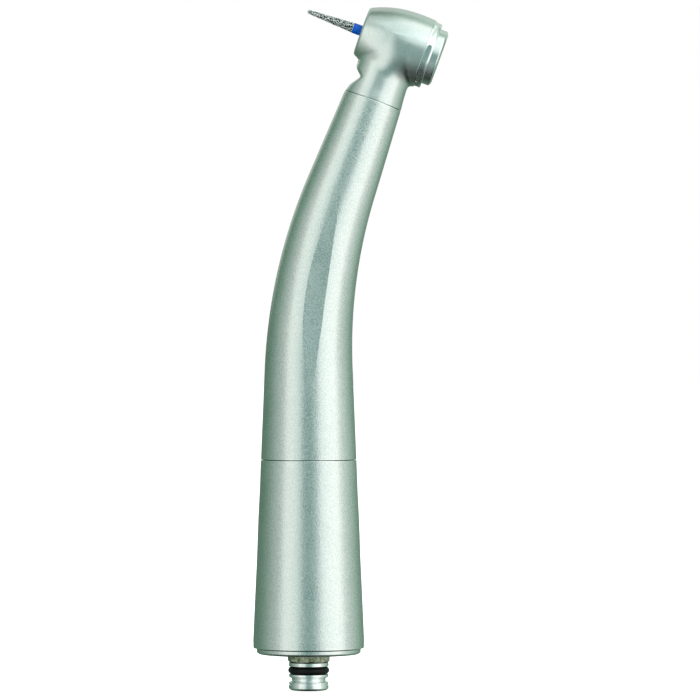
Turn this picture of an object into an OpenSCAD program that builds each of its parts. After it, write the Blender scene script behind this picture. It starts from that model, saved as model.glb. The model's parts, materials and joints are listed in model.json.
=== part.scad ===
// High speed air-turbine handpiece with an angled head, a push-button chuck and a diamond bur.
// Origin: centre of the coupling stub's rear face. +Z runs up the straight rear sleeve.
// The head leans towards +X, and the bur points to -X and up.

/* [Spine] */
// Length of the straight part of the centre line, from the stub's rear face
straight_len = 49.6; // [46:0.2:54]
// Radius of the bend in the centre line
bend_radius = 82; // [70:1:95]
// Angle of the bend, degrees
bend = 20; // [16:0.5:22]
// From the end of the bend to the head's axis
reach = 24.15; // [23:0.05:28]

/* [Head] */
// Largest radius of the head barrel
head_r = 5.43; // [5.4:0.01:5.6]
// Radius of the flat front face of the head
face_r = 3.7; // [3.6:0.05:3.9]
// How far the turbine's middle stands ahead of the neck's centre line
head_lead = 0.2; // [0:0.05:0.3]
// From the turbine's middle to the head's front face
face_at = 5.15; // [5.1:0.05:5.3]
// Thickness of the cap ring behind the barrel
cap_ring_h = 1.3; // [1.2:0.05:1.4]
// Number of wrench notches round the cap ring
notch_count = 8; // [4:2:8]
// Distance between the floors of two opposite wrench notches
across_notches = 10; // [9.8:0.05:10.2]
// Length of a wrench notch
notch_len = 2.9; // [2.4:0.1:3]
// Distance from the head's axis to the seam between neck and body
neck_seam = 9.55; // [9.4:0.05:10]
// Outer radius of the neck at its seam
neck_r = 4.6; // [4.55:0.05:4.8]

/* [Push button] */
// Radius of the push button
button_r = 4.42; // [4.3:0.01:4.44]
// Height by which the button stands out of the cap ring
button_proud = 1.4; // [1.2:0.1:1.6]
// How far the button travels
button_travel = 0.7; // [0.5:0.1:0.8]

/* [Turbine] */
// Outer radius of the ball bearings
bearing_r = 3.175; // [3.1:0.005:3.18]
// Width of the ball bearings
bearing_w = 2.38; // [2.3:0.01:2.4]
// Radius of the spindle
spindle_r = 1.5875; // [1.5:0.0025:1.5875]
// Radius over the tips of the impeller's blades
impeller_r = 4.05; // [3.8:0.05:4.1]
// Number of impeller blades
blade_count = 8; // [6:1:10]
// Number of balls in each bearing
ball_count = 7; // [6:1:8]

/* [Bur] */
// Radius of the bur's shank
shank_r = 0.8; // [0.75:0.01:0.8]
// Length of shank held inside the head, from the front face
shank_held = 7.4; // [6.5:0.1:7.4]
// Length of the colour band ahead of the front face
band_len = 1.4; // [1:0.1:2]
// Length of the diamond-coated tip
grit_len = 7.5; // [5:0.1:9]
// Radius of the diamond-coated tip at its rear end
grit_r = 0.78; // [0.6:0.01:0.8]
// Radius of the diamond-coated tip at its rounded point
grit_tip_r = 0.33; // [0.25:0.01:0.5]

/* [Body and sleeve] */
// Height of the seam between the rear sleeve and the body shell
sleeve_seam = 35.65; // [34:0.05:37]
// Outer radius of the body shell at that seam
seam_r = 7.32; // [7.2:0.01:7.45]
// Outward swell of the body shell midway along it
body_swell = 0.16; // [0:0.01:0.3]
// Outer radius of the rear sleeve at its lower rim
rim_r = 8.6; // [8.4:0.05:8.8]
// Height of the lower rim's bottom edge
rim_z = 6.55; // [6.5:0.05:6.6]
// Wall thickness of the body shell
wall = 0.8; // [0.6:0.05:0.85]
// Half of the angle that each side's finger flat covers at its middle, degrees
flat_half_angle = 14; // [6:0.5:16]

/* [Coupling stub] */
// Radius of the stub's lands
stub_r = 3.08; // [3:0.01:3.1]
// Length of the stub behind the hexagonal collar
stub_len = 4.4; // [4.3:0.05:4.5]
// Radius of the stub's retention groove and of its shank
waist_r = 2.6; // [2.55:0.01:2.65]
// Radius of the hexagonal collar across its corners
hex_r = 3.35; // [3.3:0.01:3.6]
// Height of the hexagonal collar
hex_h = 0.9; // [0.8:0.05:0.95]
// Angle from +X to the hexagonal collar's nearest corner, degrees
hex_turn = -21; // [-30:1:30]

/* [Hidden] */

$fn = 64;
gap = 0.1;            // seam between two shells
bite = 0.01;          // how far a cutting shape passes the surface it cuts
fit = 0.03;           // radial clearance of a running fit

// Centre line
arc_len = bend_radius * bend * PI / 180;
head_s = straight_len + arc_len + reach;      // centre-line distance of the head's axis
seam_s = head_s - neck_seam;                  // centre-line distance of the neck seam

// Stations along the head's axis, measured from the turbine's middle towards the bur
barrel_rear = -5.05;
cap_rear = barrel_rear - cap_ring_h;
button_skirt = cap_rear + 0.25;               // inner edge of the button's rim at rest
wrench_turn = -92;                            // where the tightened cap's first notch comes to rest
notch_edge = 0.3;                             // from the cap ring's rear edge to its notches
notch_w = 0.75;
button_floor = button_skirt + button_travel + 0.15;
button_crown_h = 0.9;
button_stem_r = 1.3;
button_stem_end = -5;
front_bearing = 1.85;
rear_bearing = -front_bearing - bearing_w;
front_wall = 4.55;
cavity_r = impeller_r + 0.25;
impeller_h = 3;
cavity_h = impeller_h + 0.5;
cap_skirt_r = 4.28;
cap_front = -1.9;                             // where the cap's threaded skirt ends
cap_recess_r = 3.95;
cap_hole_r = 1.5;
cap_web = [-4.75, -4.45];
race_bore_r = spindle_r + 0.0125;
pitch_r = 2.38;
ball_r = 0.5;
groove_r = ball_r + fit;
seat_r = bearing_r + 0.12;                    // bore that a bearing sits in
inner_land_r = 2.08;
outer_land_r = 2.7;
cage_r = [2.19, 2.58];
ring_section_r = 0.24;
ring_r = bearing_r + ring_section_r + 0.01;
shield_at = 4.28;
shield_h = 0.22;
washer_h = 0.14;
spindle_span = [-4.2, 4.75];
collet_r = 1.15;
collet_rear = -2.4;
collet_len = 7;
pusher_r = 1;
pusher_span = [-4.9, -3.1];

// Stations and channels shared by the stub, the joint block and the tubes
latch_groove = [1.3, 1.9];                    // groove that the coupling's balls drop into
seal_groove = [2.5, 3.7];
tang_top = 12;
block_span = [10.2, 18];
block_r = 6.45;
bore_r = 6.5;
tube_start = tang_top + gap;
tube_end = head_s - 8.75;
neck_floor = 8.65;                            // inner end of the neck's bore, from the head's axis
drive_at = [0.8, 1.05];
exhaust_at = [0.8, -1.05];
water_at = [-0.95, 1.75];
spray_at = [-0.95, -1.75];
rod_at = [-1.35, 0];
air_r = [0.75, 0.95];
water_r = [0.25, 0.4];
rod_r = 0.7;

// Light window on the neck's shoulder
window_r = 1.05;
window_len = 1.5;
window_at = [-3.72, 7.81];                    // across the neck, and down it from the head's axis
window_tilt = 53;
scoop_at = [-4.75, 6.65];
scoop_r = 1.6;
spray_port_at = [-4.45, 1.2, -4.95];           // across the neck, to the side, and down it

// Finger flats on the body's two sides
finger_flat = [46.8, 77];                     // where they start and end along the centre line

// ---------- Centre line ----------

function tilt(s) = min(max((s - straight_len) / arc_len, 0), 1) * bend;

function spine(s) =
  let (t = tilt(s),
       beyond = max(s - straight_len - arc_len, 0),
       foot = min(s, straight_len))
  [bend_radius * (1 - cos(t)) + beyond * sin(bend),
   0,
   foot + bend_radius * sin(t) + beyond * cos(bend)];

// A point beside the centre line: x to the outside of the bend, y across it
function beside(s, x, y) = spine(s) + [x * cos(tilt(s)), y, -x * sin(tilt(s))];

head_centre = spine(head_s);

// Head frame: +Z towards the bur, +X away from the neck
module at_head() {
  translate(head_centre) rotate([0, bend - 90, 0]) translate([0, 0, head_lead]) children();
}

// Neck frame: +Z up the neck to the head's axis, +X to the outside of the bend
module at_neck() {
  translate(head_centre) rotate([0, bend, 0]) children();
}

// ---------- Sweeps along the centre line ----------

function steps(from, to, count) = [for (i = [0:count]) from + (to - from) * i / count];

// Every quad of a closed wall between neighbouring rings, split in two
function wall_faces(first, rings, sides, out) = [
  for (i = [0:rings - 2], k = [0:sides - 1])
    let (a = first + i * sides + k,
         b = first + i * sides + (k + 1) % sides)
    for (f = out ? [[a, a + sides, b], [b, a + sides, b + sides]]
                 : [[a, b, a + sides], [b, b + sides, a + sides]]) f
];

// The ring of faces between an outer and an inner wall at one end
function rim_faces(outer, inner, sides, top) = [
  for (k = [0:sides - 1])
    let (n = (k + 1) % sides)
    for (f = top ? [[outer + k, inner + k, outer + n], [outer + n, inner + k, inner + n]]
                 : [[outer + k, outer + n, inner + k], [outer + n, inner + n, inner + k]]) f
];

// A tube along the centre line; centre(s) gives its middle, outer(s, a) and inner(s) its radii
module swept_tube(stations, sides, centre, outer, inner) {
  rings = len(stations);
  total = rings * sides;
  skin = [for (s = stations, k = [0:sides - 1])
    let (a = 360 * k / sides, c = centre(s), r = outer(s, a))
    beside(s, c[0] + r * cos(a), c[1] + r * sin(a))];
  lining = [for (s = stations, k = [0:sides - 1])
    let (a = 360 * k / sides, c = centre(s), r = inner(s))
    beside(s, c[0] + r * cos(a), c[1] + r * sin(a))];
  polyhedron(
    points = concat(skin, lining),
    faces = concat(
      wall_faces(0, rings, sides, true),
      wall_faces(total, rings, sides, false),
      rim_faces(0, total, sides, false),
      rim_faces(total - sides, 2 * total - sides, sides, true)),
    convexity = 6);
}

// A solid rod along the centre line
module swept_rod(stations, sides, centre, r) {
  rings = len(stations);
  skin = [for (s = stations, k = [0:sides - 1])
    let (a = 360 * k / sides, c = centre(s))
    beside(s, c[0] + r * cos(a), c[1] + r * sin(a))];
  start = [for (k = [0:sides - 1]) k];
  end = [for (k = [sides - 1:-1:0]) (rings - 1) * sides + k];
  polyhedron(
    points = skin,
    faces = concat(wall_faces(0, rings, sides, true), [start, end]),
    convexity = 6);
}

module pipe(at, radii) {
  swept_tube(steps(tube_start, tube_end, 24), 12,
    function(s) at, function(s, a) radii[1], function(s) radii[0]);
}

// ---------- Head ----------

module head_housing() {
  color("silver") difference() {
    union() {
      at_head() rotate_extrude() polygon([
        [0, barrel_rear], [head_r - 0.1, barrel_rear], [head_r - 0.02, -3.5], [head_r, -1.65],
        [head_r - 0.36, 1.45], [head_r - 1.03, 3.7], [face_r + 0.32, face_at - 0.5],
        [face_r, face_at], [0, face_at]
      ]);
      at_neck() translate([0, 0, -neck_seam])
        cylinder(r1 = neck_r, r2 = neck_r - 0.2, h = neck_seam - 1);
      at_neck() translate([0, 0, -neck_seam - 3])
        cylinder(r = neck_r - wall - 0.05, h = 3.2);
    }
    at_head() turbine_cavity();
    at_neck() neck_channels();
  }
}

module turbine_cavity() {
  translate([0, 0, barrel_rear - bite]) cylinder(r = cap_skirt_r + fit, h = 4);
  translate([0, 0, -cavity_h / 2]) cylinder(r = cavity_r, h = cavity_h);
  cylinder(r = seat_r, h = front_wall);
  cylinder(r = 2.3, h = face_at + 1);
  damping_groove(front_bearing + bearing_w / 2);
}

module damping_groove(middle) {
  translate([0, 0, middle - 0.3]) cylinder(r = bearing_r + 0.5, h = 0.6);
}

module neck_channels() {
  spigot_end = -neck_seam - 3 - bite;
  translate([0, 0, spigot_end]) cylinder(r = 3, h = -neck_floor - spigot_end);
  translate([scoop_at[0], 0, -scoop_at[1]])
    rotate([90, 0, 0]) cylinder(r = scoop_r, h = 4 * neck_r, center = true);
  at_window() cylinder(r = window_r + fit, h = 2 * window_len, center = true);
  for (at = [drive_at, exhaust_at])
    translate([at[0], at[1], -neck_floor - bite]) cylinder(r = air_r[0], h = 5);
  for (side = [-1, 1]) spray_channel(side);
}

// A drilled way from the water or spray-air tube to a port below the front face
module spray_channel(side) {
  run = spray_port_at - [water_at[0], water_at[1], -neck_floor];
  length = norm(run);
  lean = acos(run[2] / length);
  turn = atan2(side * run[1], run[0]);
  translate([water_at[0], side * water_at[1], -neck_floor])
    rotate([0, lean, turn]) translate([0, 0, -0.3]) cylinder(r = water_r[0], h = length + 0.8);
}

module at_window() {
  translate([window_at[0], 0, -window_at[1]]) rotate([0, -window_tilt, 0]) children();
}

module head_cap() {
  color("gainsboro") at_head() difference() {
    rotate_extrude() polygon([
      [cap_skirt_r, barrel_rear], [head_r - 0.11, barrel_rear], [head_r - 0.33, cap_rear + 0.2],
      [head_r - 0.53, cap_rear], [button_r + 0.08, cap_rear], [button_r + 0.08, button_floor],
      [cap_recess_r, button_floor], [cap_recess_r, cap_web[0]], [cap_hole_r, cap_web[0]],
      [cap_hole_r, cap_web[1]], [seat_r, cap_web[1]], [seat_r, cap_front], [cap_skirt_r, cap_front]
    ]);
    damping_groove(rear_bearing + bearing_w / 2);
    for (i = [0:notch_count - 1]) rotate(360 * i / notch_count + wrench_turn) wrench_notch();
  }
}

module wrench_notch() {
  translate([across_notches / 2, -notch_len / 2, cap_rear + notch_edge]) cube([2, notch_len, notch_w]);
}

module push_button() {
  face = cap_rear - button_proud;
  color("gainsboro") at_head() rotate_extrude() polygon([
    [0, face], [button_r - 0.8, face], [button_r - 0.3, face + 0.14], [button_r, face + 0.55],
    [button_r, button_skirt], [button_r - 0.5, button_skirt],
    [button_r - 0.5, face + button_crown_h], [button_stem_r, face + button_crown_h],
    [button_stem_r, button_stem_end], [0, button_stem_end]
  ]);
}

module button_spring() {
  turns = 2;
  wire_r = 0.15;
  coil_r = 2.9;
  bottom = cap_web[0] - wire_r - 0.05;
  top = cap_rear - button_proud + button_crown_h + wire_r + 0.05;
  sides = 8;
  per_turn = 18;
  last = turns * per_turn;
  points = [for (i = [0:last], k = [0:sides - 1])
    let (a = 360 * i / per_turn, b = 360 * k / sides, r = coil_r + wire_r * cos(b))
    [r * cos(a), r * sin(a), bottom + (top - bottom) * i / last + wire_r * sin(b)]];
  ends = [[for (k = [0:sides - 1]) k], [for (k = [sides - 1:-1:0]) last * sides + k]];
  color("dimgray") at_head() polyhedron(
    points = points,
    faces = concat(wall_faces(0, last + 1, sides, false), ends),
    convexity = 4);
}

module chuck_pusher() {
  color("gray") at_head() translate([0, 0, pusher_span[0]])
    cylinder(r = pusher_r, h = pusher_span[1] - pusher_span[0]);
}

// ---------- Turbine ----------

module spindle() {
  length = spindle_span[1] - spindle_span[0];
  color("silver") at_head() difference() {
    translate([0, 0, spindle_span[0]]) cylinder(r = spindle_r, h = length);
    translate([0, 0, collet_rear - 0.3]) cylinder(r = collet_r + 0.02, h = length);
    translate([0, 0, pusher_span[0]]) cylinder(r = pusher_r + fit, h = length / 2);
  }
}

module impeller() {
  hub_r = 2.2;
  blade_w = 0.5;
  color("goldenrod") at_head() translate([0, 0, -impeller_h / 2]) difference() {
    union() {
      cylinder(r = hub_r, h = impeller_h);
      for (i = [0:blade_count - 1])
        rotate(360 * i / blade_count)
          translate([hub_r - 0.4, -hub_r * 0.5, 0])
            rotate(18) cube([impeller_r - hub_r, blade_w, impeller_h]);
    }
    translate([0, 0, -1]) cylinder(r = race_bore_r, h = impeller_h + 2);
  }
}

module chuck_collet() {
  slit_w = 0.25;
  slit_from = 1.6;
  color("darkgray") at_head() difference() {
    translate([0, 0, collet_rear]) cylinder(r = collet_r, h = collet_len);
    translate([0, 0, collet_rear - 1]) cylinder(r = shank_r + fit, h = collet_len + 2);
    for (a = [0, 120, 240])
      rotate(a) translate([0, -slit_w / 2, slit_from]) cube([2 * collet_r, slit_w, collet_len]);
  }
}

module inner_race(from) {
  color("silver") at_head() translate([0, 0, from]) difference() {
    cylinder(r = inner_land_r, h = bearing_w);
    translate([0, 0, -1]) cylinder(r = race_bore_r, h = bearing_w + 2);
    ball_track();
  }
}

module outer_race(from) {
  color("silver") at_head() translate([0, 0, from]) difference() {
    cylinder(r = bearing_r, h = bearing_w);
    translate([0, 0, -1]) cylinder(r = outer_land_r, h = bearing_w + 2);
    ball_track();
  }
}

module ball_track() {
  translate([0, 0, bearing_w / 2])
    rotate_extrude() translate([pitch_r, 0]) circle(r = groove_r, $fn = 32);
}

module balls(from) {
  color("white") at_head() translate([0, 0, from + bearing_w / 2])
    for (i = [0:ball_count - 1])
      rotate(360 * i / ball_count) translate([pitch_r, 0, 0]) sphere(r = ball_r, $fn = 32);
}

// A crown cage: a thin ring with open pockets that the balls sit in
module cage(from) {
  floor_at = -ball_r - 0.04;
  color("tan") at_head() translate([0, 0, from + bearing_w / 2]) difference() {
    translate([0, 0, floor_at - 0.35]) cylinder(r = cage_r[1], h = 1.3);
    translate([0, 0, -2]) cylinder(r = cage_r[0], h = 4);
    for (i = [0:ball_count - 1])
      rotate(360 * i / ball_count)
        translate([pitch_r, 0, floor_at]) cylinder(r = ball_r + 0.04, h = 2, $fn = 32);
  }
}

module damping_ring(middle) {
  color("black") at_head() translate([0, 0, middle])
    rotate_extrude() translate([ring_r, 0]) circle(r = ring_section_r, $fn = 32);
}

module front_shield() {
  color("dimgray") at_head() translate([0, 0, shield_at]) difference() {
    cylinder(r = bearing_r, h = shield_h);
    translate([0, 0, -1]) cylinder(r = spindle_r + 0.15, h = 3);
  }
}

module wave_washer() {
  color("silver") at_head() translate([0, 0, rear_bearing - washer_h - 0.04]) difference() {
    cylinder(r = bearing_r - 0.05, h = washer_h);
    translate([0, 0, -1]) cylinder(r = outer_land_r - 0.1, h = 3);
  }
}

// ---------- Bur ----------

neck_of_bur = shank_r - 0.08;
grit_from = face_at + band_len;
grit_to = grit_from + grit_len;
grit_depth = 0.15;                            // thickness of the diamond coat
core_len = grit_len - 0.5;

module bur_shank() {
  color("silver") at_head() {
    translate([0, 0, face_at - shank_held]) cylinder(r = shank_r, h = shank_held);
    translate([0, 0, face_at]) cylinder(r = neck_of_bur, h = band_len);
    translate([0, 0, grit_from]) bur_core();
  }
}

module bur_core() {
  cylinder(r1 = grit_r - grit_depth, r2 = grit_tip_r - grit_depth, h = core_len);
}

module bur_band() {
  color("royalblue") at_head() translate([0, 0, face_at + 0.05]) difference() {
    cylinder(r = shank_r, h = band_len - 0.1);
    translate([0, 0, -1]) cylinder(r = neck_of_bur, h = band_len + 2);
  }
}

module bur_grit() {
  color("lightgray") at_head() difference() {
    union() {
      translate([0, 0, grit_from]) cylinder(r1 = grit_r, r2 = grit_tip_r, h = grit_len - grit_tip_r);
      translate([0, 0, grit_to - grit_tip_r]) sphere(r = grit_tip_r);
    }
    translate([0, 0, grit_from]) bur_core();
  }
}

// ---------- Light and tubes ----------

module light_window() {
  color("azure") at_neck() intersection() {
    at_window() translate([0, 0, -window_len]) cylinder(r = window_r, h = window_len + 0.15);
    translate([0, 0, -neck_seam]) cylinder(r = neck_r - 0.1, h = neck_seam);
  }
}

// The rod follows the tubes, then bends out to the window
module light_rod() {
  bend_out = head_s - 15;
  lean = 0.85;
  stations = concat(steps(tube_start, bend_out, 20), steps(bend_out + 1.3, head_s - 9.35, 3));
  color("azure") swept_rod(stations, 16,
    function(s) [rod_at[0] - lean * min(max((s - bend_out) / 4.6, 0), 1), 0], rod_r);
}

module drive_air_tube() {
  color("silver") pipe(drive_at, air_r);
}

module exhaust_tube() {
  color("silver") pipe(exhaust_at, air_r);
}

module water_tube() {
  color("silver") pipe(water_at, water_r);
}

module spray_air_tube() {
  color("silver") pipe(spray_at, water_r);
}

// ---------- Body ----------

function body_r(s) =
  let (f = (s - sleeve_seam) / (seam_s - sleeve_seam))
  seam_r + (neck_r - seam_r) * f + body_swell * sin(180 * f);

// Half of the angle that a finger flat covers at s: a long pointed oval
function flat_angle(s) =
  let (u = (2 * s - finger_flat[0] - finger_flat[1]) / (finger_flat[1] - finger_flat[0]))
  flat_half_angle * pow(max(1 - u * u, 0), 0.85);

// Outer radius of the body with the flats cut into its two sides
function shell_r(s, a) =
  let (off = min(abs(a - 90), abs(a - 270)), half = flat_angle(s))
  body_r(s) * (off < half ? cos(half) / cos(off) : 1);

module body_shell() {
  color("silver") swept_tube(steps(sleeve_seam + gap, seam_s - gap, 26), 48,
    function(s) [0, 0],
    function(s, a) shell_r(s, a),
    function(s) body_r(s) - wall);
}

module rear_sleeve() {
  spigot_top = sleeve_seam + 3.5;
  spigot_r = body_r(spigot_top) - wall - 0.05;
  inside = spigot_r - 0.7;
  color("silver") rotate_extrude() polygon([
    [bore_r, rim_z], [rim_r - 0.1, rim_z], [rim_r, rim_z + 0.1], [rim_r, rim_z + 1.1],
    [rim_r - 0.12, rim_z + 1.4], [8.29, 13.95], [7.98, 20.15], [7.75, 26.35], [7.5, 31],
    [seam_r + 0.02, sleeve_seam], [spigot_r, sleeve_seam], [spigot_r, spigot_top],
    [inside, spigot_top], [inside, sleeve_seam - 4], [bore_r, sleeve_seam - 5]
  ]);
}

// Drills the five channels of the coupling through one cylinder
module channels(from, height, air, thin, rod) {
  for (at = [drive_at, exhaust_at]) translate([at[0], at[1], from]) cylinder(r = air, h = height);
  for (at = [water_at, spray_at]) translate([at[0], at[1], from]) cylinder(r = thin, h = height);
  translate([rod_at[0], rod_at[1], from]) cylinder(r = rod, h = height);
}

module joint_block() {
  color("darkgray") difference() {
    translate([0, 0, block_span[0]]) cylinder(r = block_r, h = block_span[1] - block_span[0]);
    translate([0, 0, block_span[0] - 1]) cylinder(r = waist_r + 0.02, h = tang_top - block_span[0] + 1);
    channels(tang_top - 1, 10, air_r[1] + 0.02, water_r[1] + 0.02, rod_r + 0.02);
  }
}

module end_ring() {
  bottom = stub_len + hex_h;
  top = rim_z - gap;
  color("silver") rotate_extrude() polygon([
    [waist_r + 0.02, bottom], [6.2, bottom], [7.4, bottom + 0.25], [8.06, bottom + 0.8],
    [8.06, top], [block_r, top], [block_r, block_span[0] - gap], [waist_r + 0.02, block_span[0] - gap]
  ]);
}

module hex_collar() {
  chamfer = 0.2;
  color("silver") difference() {
    translate([0, 0, stub_len]) intersection() {
      rotate(hex_turn) cylinder(r = hex_r, h = hex_h, $fn = 6);
      cylinder(r1 = hex_r - chamfer, r2 = hex_r + hex_h - chamfer, h = hex_h);
    }
    translate([0, 0, stub_len - 1]) cylinder(r = waist_r + 0.02, h = 3);
  }
}

module coupling_stub() {
  color("gainsboro") difference() {
    rotate_extrude() polygon([
      [0, 0], [stub_r - 0.35, 0], [stub_r, 0.2], [stub_r, latch_groove[0] - 0.2],
      [waist_r, latch_groove[0]], [waist_r, latch_groove[1]], [stub_r, latch_groove[1] + 0.2],
      [stub_r, seal_groove[0]], [waist_r, seal_groove[0]], [waist_r, seal_groove[1]],
      [stub_r, seal_groove[1]],
      [stub_r, stub_len - 0.02], [waist_r, stub_len - 0.02], [waist_r, tang_top], [0, tang_top]
    ]);
    channels(-1, tang_top + 2, air_r[0], water_r[0], rod_r);
  }
}

module stub_ring() {
  section_r = 0.57;
  color("black") rotate_extrude() difference() {
    translate([waist_r, (seal_groove[0] + seal_groove[1]) / 2]) circle(r = section_r, $fn = 32);
    translate([0, seal_groove[0]]) square([waist_r + 0.02, seal_groove[1] - seal_groove[0]]);
  }
}

head_housing();
head_cap();
push_button();
button_spring();
chuck_pusher();
spindle();
impeller();
chuck_collet();
inner_race(front_bearing);  // front_inner_race
outer_race(front_bearing);  // front_outer_race
balls(front_bearing);  // front_balls
cage(front_bearing);  // front_cage
inner_race(rear_bearing);  // rear_inner_race
outer_race(rear_bearing);  // rear_outer_race
balls(rear_bearing);  // rear_balls
cage(rear_bearing);  // rear_cage
damping_ring(front_bearing + bearing_w / 2);  // front_damping_ring
damping_ring(rear_bearing + bearing_w / 2);  // rear_damping_ring
front_shield();
wave_washer();
bur_shank();
bur_band();
bur_grit();
light_window();
light_rod();
drive_air_tube();
exhaust_tube();
water_tube();
spray_air_tube();
body_shell();
rear_sleeve();
joint_block();
end_ring();
hex_collar();
coupling_stub();
stub_ring();
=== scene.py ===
"""Looks for the high speed handpiece: finished shells, procedural metals, studio light and camera.

Mesh code works in millimetres in the part's own frame; to_object() turns them into metres.
"""

import json
import math

import bmesh
import bpy
import numpy as np
from mathutils import Matrix, Vector


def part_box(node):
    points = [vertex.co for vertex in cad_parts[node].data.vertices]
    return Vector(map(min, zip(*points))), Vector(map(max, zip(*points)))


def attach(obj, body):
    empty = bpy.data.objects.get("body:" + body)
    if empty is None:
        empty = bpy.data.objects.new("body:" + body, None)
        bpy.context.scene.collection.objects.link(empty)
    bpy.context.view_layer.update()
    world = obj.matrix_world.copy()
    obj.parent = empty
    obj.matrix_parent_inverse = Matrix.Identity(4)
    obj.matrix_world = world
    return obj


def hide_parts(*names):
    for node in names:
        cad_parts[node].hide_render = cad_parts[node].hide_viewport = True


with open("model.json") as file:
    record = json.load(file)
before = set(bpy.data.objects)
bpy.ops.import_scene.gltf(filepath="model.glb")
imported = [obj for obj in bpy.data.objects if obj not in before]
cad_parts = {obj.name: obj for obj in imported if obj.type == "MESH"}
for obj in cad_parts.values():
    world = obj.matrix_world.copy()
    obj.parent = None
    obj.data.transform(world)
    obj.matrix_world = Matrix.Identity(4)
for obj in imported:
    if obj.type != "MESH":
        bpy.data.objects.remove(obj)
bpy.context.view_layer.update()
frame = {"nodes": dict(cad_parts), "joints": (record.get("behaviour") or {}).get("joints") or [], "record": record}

MM = 0.001


# ---------- Places taken from the frame ----------

def joint(name):
    return next(j for j in frame["joints"] if j["name"] == name)


def box_mm(node):
    low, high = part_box(node)
    return low / MM, high / MM


TURBINE = Vector(joint("rotor_spin")["pos_m"]) / MM
TO_BUR = Vector(joint("rotor_spin")["axis"])
LEAD = 0.2                    # how far the turbine stands ahead of the neck's centre line
NECK_TOP = TURBINE - TO_BUR * LEAD
BEND = math.asin(TO_BUR.z)
BEND_RADIUS = 82.0
ARC = BEND_RADIUS * BEND
STRAIGHT = box_mm("body_shell")[0].z + 13.85      # where the straight part of the centre line ends
REACH = (NECK_TOP.z - STRAIGHT - BEND_RADIUS * math.sin(BEND)) / math.cos(BEND)
HEAD_S = STRAIGHT + ARC + REACH
NECK_SEAM = 9.55              # from the turbine down the neck to the body's seam
NECK_R = 4.6
SLEEVE_SEAM = box_mm("body_shell")[0].z - 0.1
SEAM_R = 7.40
SWELL = 0.16                  # how far the body swells beyond a straight taper
WALL = 0.8
SEAM_S = HEAD_S - NECK_SEAM

# Head frame: x away from the neck, y across, z towards the bur
HEAD_FRAME = Matrix.Translation(TURBINE) @ Matrix.Rotation(BEND - math.pi / 2, 4, "Y")
NECK_FRAME = Matrix.Translation(NECK_TOP) @ Matrix.Rotation(BEND, 4, "Y")
BODY_FRAME = Matrix.Identity(4)

# Stations along the bur's axis
FACE = 5.15
BARREL_REAR = -5.05
CAP_REAR = -6.35
BUTTON_FACE = -7.75


# ---------- Curves ----------

def smooth_curve(points, x):
    """A cubic through given (x, y) points, flat beyond its ends."""
    px, py = np.array(points, float).T
    slope = np.gradient(py, px)
    x = np.clip(x, px[0], px[-1])
    i = np.clip(np.searchsorted(px, x, side="right") - 1, 0, len(px) - 2)
    h = px[i + 1] - px[i]
    t = (x - px[i]) / h
    a = (1 + 2 * t) * (1 - t) ** 2 * py[i] + t * (1 - t) ** 2 * h * slope[i]
    b = t * t * (3 - 2 * t) * py[i + 1] + t * t * (t - 1) * h * slope[i + 1]
    return a + b


def tilt(s):
    return np.clip((s - STRAIGHT) / ARC, 0, 1) * BEND


def beside(s, x, y):
    """Points beside the centre line at s: x to the outside of the bend, y across it."""
    t = tilt(s)
    beyond = np.maximum(s - STRAIGHT - ARC, 0)
    foot = np.minimum(s, STRAIGHT)
    cx = BEND_RADIUS * (1 - np.cos(t)) + beyond * math.sin(BEND)
    cz = foot + BEND_RADIUS * np.sin(t) + beyond * math.cos(BEND)
    return np.stack([cx + x * np.cos(t), y + 0 * cx, cz - x * np.sin(t)], -1)


def body_r(s):
    f = (s - SLEEVE_SEAM) / (SEAM_S - SLEEVE_SEAM)
    return SEAM_R + (NECK_R - SEAM_R) * f + SWELL * np.sin(math.pi * f)


# ---------- Outlines ----------

ARC_STEPS = 6
SUPPORT = 0.12        # distance of the row that holds a rounded edge's shading
WORN_BELOW = 0.25     # edges rounded by less than this are rubbed bright


def rounded(corners, closed):
    """Turns (radius, height, rounding) corners into a dense outline of (radius, height, wear)."""
    count = len(corners)
    out = []
    for i, (a, b, fillet) in enumerate(corners):
        here = np.array([a, b], float)
        ends = not closed and i in (0, count - 1)
        if ends or fillet <= 0:
            out.append((a, b, 0.0))
            continue
        before = np.array(corners[i - 1][:2], float)
        after = np.array(corners[(i + 1) % count][:2], float)
        to_before, to_after = before - here, after - here
        l1, l2 = np.linalg.norm(to_before), np.linalg.norm(to_after)
        to_before, to_after = to_before / l1, to_after / l2
        half = math.acos(float(np.clip(to_before @ to_after, -1, 1))) / 2
        reach = min(fillet / math.tan(half), 0.48 * l1, 0.48 * l2)
        radius = reach * math.tan(half)
        bisector = to_before + to_after
        middle = here + bisector / np.linalg.norm(bisector) * radius / math.sin(half)
        start, end = here + to_before * reach, here + to_after * reach
        if l1 - reach > 3 * SUPPORT:
            out.append((*(start + to_before * SUPPORT), 0.0))
        a0 = math.atan2(*(start - middle)[::-1])
        turn = math.atan2(*(end - middle)[::-1]) - a0
        turn = (turn + math.pi) % (2 * math.pi) - math.pi
        worn_and_highlit = float(radius < WORN_BELOW)
        for k in range(ARC_STEPS + 1):
            a = a0 + turn * k / ARC_STEPS
            out.append((middle[0] + radius * math.cos(a), middle[1] + radius * math.sin(a), worn_and_highlit))
        if l2 - reach > 3 * SUPPORT:
            out.append((*(end + to_after * SUPPORT), 0.0))
    return out


# ---------- Meshes ----------

SHARP = 35                    # degrees between faces from which an edge stays sharp


def mark(mesh, name, values):
    """Stores one value per vertex for a material to read."""
    data = mesh.attributes.new(name, "FLOAT", "POINT").data
    data.foreach_set("value", np.array(values, np.float32))


def shade(mesh, sharp):
    mesh.shade_smooth()
    mesh.set_sharp_from_angle(angle=math.radians(sharp))


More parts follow.
